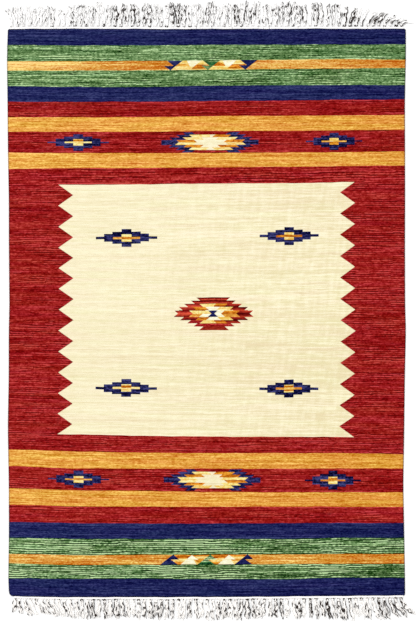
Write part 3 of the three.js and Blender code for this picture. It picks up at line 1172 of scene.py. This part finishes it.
NEAR_LIE = [
    (-600, 42, -16, 0.5, 1.2, 0),
    (-580, 47, 4, 0.5, 1.0, 0),
    (-560, 54, 28, 0.4, 1.0, 0),
    (-480, 53, 25, 0.4, 1.0, 0),
    (-420, 58, 12, 0.4, 1.2, 0),
    (-330, 61, 3, 0.4, 1.3, 0),
    (-30, 62, 0, 0.4, 1.1, 0),
    (10, 65, 0, 0.5, 1.1, 0),
    (130, 65, 0, 0.5, 1.4, 0),
    (170, 61, 1, 0.5, 1.7, 0),
    (320, 64, 5, 0.5, 2.1, 0),
    (430, 67, 14, 0.5, 2.3, 0),
    (520, 67, 22, 0.4, 2.3, 0),
    (560, 63, 32, 0.3, 2.0, 0),
    (597, 50, 42, 0.3, 2.0, 0),
]
TASSEL_PITCH = 2 * (PLAN_HALF_WIDTH - FRINGE_INSET) / TASSEL_COUNT
tassel_across = (np.arange(TASSEL_COUNT) - (TASSEL_COUNT - 1) / 2) * TASSEL_PITCH


def read_lie(lie):
    """Reach, lean, curl and the two kinds of painted shade, blended for each tassel."""
    table = np.array(lie, float).T
    return [np.interp(tassel_across, table[0], column) for column in table[1:]]


def cloth_end(across_mm, end):
    """x and y in metres where the cloth ends. end is 1 for the far one, -1 for the near."""
    x, y = lay_down(np.asarray(across_mm, float), np.array([end * PLAN_HALF_LENGTH * 1.0]))
    return x[0], y[0]


print(f"{TASSEL_COUNT} tassels, {TASSEL_PITCH:.1f} mm apart")

# %% [markdown]
# ### The heading and its warps
# The heading is a narrow ribbed strip like the cloth itself, so it is closed in the
# same way. From it the bare warps fan together, five to a knot. They lie so close that
# they could be one striped sheet, but separate tubes let the floor's shadow in between.

# %% Lay out a heading and its warps
HEADING_PROFILE = [
    # how far out, half the thickness, in mm
    (-1.2, 0.9),
    (1.5, 1.05),
    (3.2, 1.05),
    (4.4, 0.95),
    (5.2, 0.4),
]
HEADING_MIDDLE = 1.7
HEADING_VALLEY = 0.62
WARPS_PER_TASSEL = 5
WARP_POINTS = 5
WARP_START = 2.0
WARP_RISE = 1.0
GATHERED = 0.3


def heading_strip(end):
    """The white woven strip along one end, as vertices and faces."""
    inside = np.abs(columns) < PLAN_HALF_WIDTH - FRINGE_INSET
    x, y = cloth_end(columns[inside], end)
    rib = np.where(on_crest[inside], 1.0, HEADING_VALLEY)
    middle = CLOTH_LOW.z + HEADING_MIDDLE * MM
    upper, lower = (
        np.array(
            [
                np.stack([x, y + end * out * MM, middle + side * rib * half * MM], axis=-1)
                for out, half in HEADING_PROFILE
            ]
        )
        for side in (1, -1)
    )
    return closed_sheet(upper, lower, flip=end < 0)


def fan_warps(end):
    """Centre lines of the warps between the heading and the knots."""
    share = np.linspace(0, 1, WARP_POINTS)
    spread = (np.arange(WARPS_PER_TASSEL) - (WARPS_PER_TASSEL - 1) / 2) * WARP_PITCH
    start = (tassel_across[:, None] + spread[None, :]).ravel()
    finish = (tassel_across[:, None] + spread[None, :] * GATHERED).ravel()
    x0, y0 = cloth_end(start, end)
    x1, _ = cloth_end(finish, end)
    x = x0[:, None] + (x1 - x0)[:, None] * share**1.6
    y = y0[:, None] + end * (WARP_START + (KNOT_AT - WARP_START) * share) * MM
    z = CLOTH_LOW.z + (HEADING_MIDDLE + WARP_RISE * share) * MM + np.zeros_like(x)
    return np.stack([x, y, z], axis=-1)


print(f"a heading is {HEADING_PROFILE[-1][0]} mm wide, with {WARPS_PER_TASSEL} warps to a knot")

# %% [markdown]
# ### The knots
# A knot is five warps tied together. Its line is a trefoil, which is just what an
# overhand knot is once its ends are left off, pressed flat. A plain ball would be
# simpler, but it would show none of the turns. Shade is painted on the warps between the
# heading and the knot, and on the knot, so each vertex stores how much painted shade it
# takes, for the material to read.

# %% Tie the knots
WARP_RADIUS = 0.95
WARP_SIDES = 6
# How much painted shade a tassel's five warps take, at five places from the heading to the knot.
OUTER_WARP = (0.0, 0.0, 0.5, 1.0, 1.0)
NEXT_WARP = (0.0, 0.1, 1.0, 0.8, 0.5)
MIDDLE_WARP = (0.0, 0.2, 1.0, 0.6, 0.4)
WARP_SHADE = np.array([OUTER_WARP, NEXT_WARP, MIDDLE_WARP, NEXT_WARP, OUTER_WARP])
KNOT_RADIUS = 1.45
KNOT_SIDES = 7
KNOT_SIZE = (1.15, 0.85)
KNOT_MIDDLE = 3.1
KNOT_HEIGHT = 1.5
KNOT_POINTS = 36
# How far one knot strays from the next: in size, sideways and outward, in mm.
KNOT_SIZES = (0.9, 1.1)
KNOT_ASIDE = 0.6
KNOT_OUT = 0.7
# Painted shade on the knots, more painted shade at the roots in the far right corner, and how far
# it strays from tassel to tassel.
KNOT_SHADE = 0.4
ROOT_SHADE = 0.3
SHADE_SPREAD = (0.2, 2.0)


def knot_lines(end, seed_rng):
    """Closed centre lines of the overhand knots."""
    t = np.linspace(0, 2 * math.pi, KNOT_POINTS, endpoint=False)
    knot_x = np.sin(t) + 2 * np.sin(2 * t)
    knot_y = np.cos(t) - 2 * np.cos(2 * t)
    turn = seed_rng.uniform(0, 2 * math.pi, TASSEL_COUNT)[:, None]
    size = seed_rng.uniform(*KNOT_SIZES, TASSEL_COUNT)[:, None]
    aside = seed_rng.normal(0, KNOT_ASIDE, TASSEL_COUNT)[:, None]
    out = KNOT_AT + seed_rng.normal(0, KNOT_OUT, TASSEL_COUNT)[:, None]
    x = (knot_x * np.cos(turn) - knot_y * np.sin(turn)) * KNOT_SIZE[0] * size + aside
    y = (knot_x * np.sin(turn) + knot_y * np.cos(turn)) * KNOT_SIZE[1] * size + out
    z = KNOT_MIDDLE - np.sin(3 * t) * KNOT_HEIGHT + np.zeros_like(x)
    cx, cy = (place[:, None] for place in cloth_end(tassel_across, end))
    return np.stack([cx + x * MM, cy + end * y * MM, CLOTH_LOW.z + z * MM], axis=-1)


def join_meshes(parts):
    """Several (vertices, faces) as one, with the faces renumbered."""
    vertices, faces, first = [], [], 0
    for part_vertices, part_faces in parts:
        vertices.append(part_vertices)
        faces += [np.asarray(face) + first for face in part_faces]
        first += len(part_vertices)
    return np.vstack(vertices), faces


def mark_places(piece, across_mm, out_mm, shade_amount):
    """Stores for each vertex where it belongs on its strand and how much painted shade it takes."""
    place = piece.data.attributes.new("strand_place", "FLOAT_VECTOR", "POINT")
    values = np.stack([across_mm, out_mm, shade_amount], axis=-1).astype(np.float32)
    place.data.foreach_set("vector", values.ravel())


def build_knots(name, end, lie, seed):
    """One end's heading, warps and knots, as one piece."""
    seed_rng = np.random.default_rng(seed)
    warps = fan_warps(end)
    knots = knot_lines(end, seed_rng)
    parts = [
        heading_strip(end),
        tube_mesh(warps, np.full(warps.shape[:2], WARP_RADIUS * MM), WARP_SIDES),
        tube_mesh(knots, np.full(knots.shape[:2], KNOT_RADIUS * MM), KNOT_SIDES, closed=True),
    ]
    piece = new_piece(name, *join_meshes(parts))
    *_, shade_amount, at_roots = read_lie(lie)
    # How much painted shade each tassel's warps and knot take, more at the roots in the far right
    # corner.
    tassel_shade = (shade_amount**0.25 + at_roots * ROOT_SHADE) * seed_rng.uniform(*SHADE_SPREAD, TASSEL_COUNT)
    warp_shades = (tassel_shade[:, None, None] * WARP_SHADE[None]).ravel()
    marks = [
        np.zeros(len(parts[0][0])),
        np.repeat(warp_shades, WARP_SIDES),
        np.repeat(tassel_shade * KNOT_SHADE, KNOT_POINTS * KNOT_SIDES),
    ]
    places = np.vstack([vertices for vertices, _ in parts]) / MM
    mark_places(piece, places[:, 0], places[:, 1], np.concatenate(marks))
    return piece


far_knots = build_knots("far_knots", 1, FAR_LIE, seed=31)
near_knots = build_knots("near_knots", -1, NEAR_LIE, seed=32)

# %% [markdown]
# ### The loose strands
# Untwisted cotton keeps the wave it had in the cloth. Each strand is walked from its
# knot step by step: its heading swings from side to side as it goes, and the steps add
# up to a wavy line. The strands of one tassel bend together, which makes it a clump,
# and those along its sides take the most painted shade.

# %% Walk the strands
STRANDS_PER_TASSEL = 10
LOW_STRANDS = 2
STRAND_POINTS = 28
STRAND_SIDES = 5
# A strand's rank is -1 at the left side of its tassel and 1 at the right side.
START_SPREAD = 2.2
RANK_SPACING = 4.0
FAN = 0.27
SIDE_RANK = 0.8
ROOTED_RANK = 0.3
INNER_SHADE = 0.45
SWING_TOGETHER = 0.35
SWING_ALONE = 0.32
TIP_THINNER = 0.45
LOW_TIP = 1.1
# How far a tassel strays from the table, in mm, and a strand from its tassel.
REACH_STRAY = 2.0
LEAN_STRAY = 4.5
FAN_STRAY = 0.06
CURVE_STRAY = 0.6
START_STRAY = 0.5
# A strand bends early, and a little more than its tassel leans.
EARLY = 0.3
LEAN_MORE = 1.25
# Each of these is the least and the most, in mm or as a share.
LENGTH_SHARE = (0.84, 1.08)
LONG_WAVE = (24, 42)
SHORT_WAVE = (9, 18)
STRAND_RADIUS = (1.1, 1.5)
LOW_TOP = (1.2, 1.9)
HIGH_TOP = (2.6, 4.4)
HIGH_TIP = (1.4, 3.2)
SPLAY = (0.3, 1.1)
SHADE_SHARE = (0.4, 1.6)
LOW_RANK = (-0.7, 0.7)


def strand_lines(end, lie, seed_rng):
    """Centre lines and radii of one fringe's strands, and each one's place and painted shade."""
    count = TASSEL_COUNT * STRANDS_PER_TASSEL
    tassel = np.repeat(np.arange(TASSEL_COUNT), STRANDS_PER_TASSEL)
    order = np.tile(np.arange(STRANDS_PER_TASSEL), TASSEL_COUNT)
    low = order < LOW_STRANDS
    reach, lean, curl, shade_amount, at_roots = read_lie(lie)
    reach = reach + seed_rng.normal(0, REACH_STRAY, TASSEL_COUNT) - KNOT_AT
    lean = lean + seed_rng.normal(0, LEAN_STRAY, TASSEL_COUNT)
    splay = seed_rng.uniform(*SPLAY, TASSEL_COUNT)
    # How much painted shade each tassel takes.
    shade_amount = shade_amount * seed_rng.uniform(*SHADE_SHARE, TASSEL_COUNT)
    share = np.linspace(0, 1, STRAND_POINTS)[None, :]

    length = (np.hypot(reach, lean)[tassel] * seed_rng.uniform(*LENGTH_SHARE, count))[:, None]
    place = share * length
    lean_heading = LEAN_MORE * np.arctan2(lean, reach)[tassel, None] * share**EARLY
    rank = (order - LOW_STRANDS) / (STRANDS_PER_TASSEL - LOW_STRANDS - 1) * 2 - 1
    rank = np.where(low, seed_rng.uniform(*LOW_RANK, count), rank)
    fan = rank * FAN * splay[tassel] + seed_rng.normal(0, FAN_STRAY, count)
    curve = seed_rng.normal(0, CURVE_STRAY, count) * curl[tassel]

    def swings(size, waves, who):
        """A sideways swing along each strand. who says which strands swing together."""
        groups = who.max() + 1
        wave = seed_rng.uniform(*waves, groups)[who, None]
        phase = seed_rng.uniform(0, 2 * math.pi, groups)[who, None]
        swing = size * seed_rng.uniform(0.5, 1.5, groups)[who, None]
        return swing * np.sin(2 * math.pi * place / wave + phase) * share**EARLY

    heading = (
        lean_heading
        + fan[:, None] * (1 - 1.5 * share)
        + curve[:, None] * (share - 0.4)
        + swings(SWING_TOGETHER, LONG_WAVE, tassel) * (0.6 + curl[tassel, None])
        + swings(SWING_ALONE, SHORT_WAVE, np.arange(count))
    )
    step = length / (STRAND_POINTS - 1)
    walk_x = np.cumsum(np.sin(heading) * step, axis=1)
    walk_y = np.cumsum(np.cos(heading) * step, axis=1) * 1.04

    cx, cy = cloth_end(tassel_across, end)
    radius = seed_rng.uniform(*STRAND_RADIUS, count)[:, None] * (1 - TIP_THINNER * share**4)
    radius = radius * (1 + 0.12 * np.sin(place * 1.9 + 9 * rank[:, None]))
    low_top = seed_rng.uniform(*LOW_TOP, count)
    top = np.where(low, low_top, seed_rng.uniform(*HIGH_TOP, count))
    tip = np.where(low, LOW_TIP, seed_rng.uniform(*HIGH_TIP, count))
    height = top[:, None] * (1 - share) + tip[:, None] * share
    height = height + 0.4 * np.sin(place / 5.0 + 7 * rank[:, None])
    height = np.maximum(height, radius + 0.05)
    start_x = rank * START_SPREAD + seed_rng.normal(0, START_STRAY, count)
    x = cx[tassel, None] + (start_x[:, None] + walk_x) * MM
    y = cy[tassel, None] + end * (KNOT_AT + walk_y) * MM
    lines = np.stack([x, y, CLOTH_LOW.z + height * MM], axis=-1)

    # Painted shade: the low strands and those along the sides of a tassel take the most, and in the
    # far right corner the right-hand strands take more near their roots, where the tassels lie over
    # each other.
    at_side = np.where(low | (np.abs(rank) > SIDE_RANK), 1.0, INNER_SHADE)
    strand_shade = (shade_amount[tassel] * at_side * seed_rng.uniform(*SHADE_SHARE, count))[:, None]
    rooted = np.where(rank > ROOTED_RANK, at_roots[tassel], 0.0)[:, None]
    strand_shade = strand_shade + rooted * np.clip(1.3 - 2.6 * share, 0, 1)
    strand_across = (tassel_across[tassel] + rank * RANK_SPACING)[:, None] + np.zeros_like(place)
    return lines, radius * MM, (strand_across, place, strand_shade)


def build_strands(name, end, lie, seed):
    """One end's loose strands, as one piece."""
    lines, radii, marks = strand_lines(end, lie, np.random.default_rng(seed))
    piece = new_piece(name, *tube_mesh(lines, radii, STRAND_SIDES))
    mark_places(piece, *(np.repeat(mark.ravel(), STRAND_SIDES) for mark in marks))
    return piece


far_strands = build_strands("far_strands", 1, FAR_LIE, seed=41)
near_strands = build_strands("near_strands", -1, NEAR_LIE, seed=42)

# %% [markdown]
# ### Undyed cotton
# The fringe is the same cotton before dyeing: white, a little yellower at the near end.
# Dark flecks of painted shade stand for the shadows in the gaps between the strands.
# They could be drawn in a texture; here a noise that runs along the strands makes them,
# wherever the shade amount that a strand stores lets them through.

# %% Give the fringe its cotton
FLECK_WIDTH = 2.8
FLECK_LENGTH = 12.0
FLECK_RELIEF = 0.3 * MM
# Painted shade in the flecks: its colour, how sharp its edge is, and the noise limit that a
# strand's shade amount lowers.
SHADE_FLECK_COLOUR = (0.024, 0.015, 0.011, 1)
FLECK_EDGE = 11.0
UNSHADED_LIMIT = 0.79
SHADE_REACH = 0.24
COTTONS = [
    # name, colour of the bare cotton, pieces
    ("far_cotton", (0.88, 0.87, 0.86, 1), (far_knots, far_strands)),
    ("near_cotton", (0.89, 0.865, 0.835, 1), (near_knots, near_strands)),
]

for name, cotton_colour, pieces in COTTONS:
    cotton, cotton_tree = new_material(name)
    strand = add_node(cotton_tree, "Attribute", {}, "Vector", attribute_name="strand_place")
    side, out, shade_amount = (add_node(cotton_tree, "SeparateXYZ", {0: strand}, part) for part in "XYZ")
    flecks = noise(side / FLECK_WIDTH, out / FLECK_LENGTH, 0.0)
    # Painted shade: the flecks turn dark where the noise passes a limit that the strand's shade
    # amount lowers.
    dark = (flecks - (shade_amount * -SHADE_REACH + UNSHADED_LIMIT)) * FLECK_EDGE + 0.5
    colours = {0: dark.at_least(0.0).at_most(1.0), 6: cotton_colour, 7: SHADE_FLECK_COLOUR}
    colour = add_node(cotton_tree, "Mix", colours, 2, data_type="RGBA")
    roughness = flecks * 0.2 + 0.75
    finish_material(
        cotton_tree, colour, roughness, relief=FLECK_RELIEF, strength=0.6, height=flecks, gloss=0.15
    )
    for piece in pieces:
        piece.data.materials.append(cotton)
    print(name, "is on", ", ".join(piece.name for piece in pieces))

# %% [markdown]
# ## Tie the pieces to the frame
# The rug has no joints, so every piece rides on the one body, and the CAD part that each
# piece stands for is hidden.

PIECES = [
    (rug, "kilim_cloth", "woven_cloth"),
    (far_knots, "fringe_far", "fringe_yarn"),
    (far_strands, "fringe_far", "fringe_yarn"),
    (near_knots, "fringe_near", "fringe_yarn"),
    (near_strands, "fringe_near", "fringe_yarn"),
]
for piece, node, slot in PIECES:
    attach(piece, "root")
    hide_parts(node)
print(f"{len(PIECES)} pieces ride on the rug's one body")

# %% [markdown]
# ## Compare the sizes and finish
# The box of the finished model is compared with the CAD box, and how much it grew is
# printed.

# %% Compare the boxes and finish
low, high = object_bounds()
grown = [round((high[i] - low[i] - CAD_HIGH[i] + CAD_LOW[i]) / MM, 1) for i in range(3)]
print("grown by", grown, "mm")
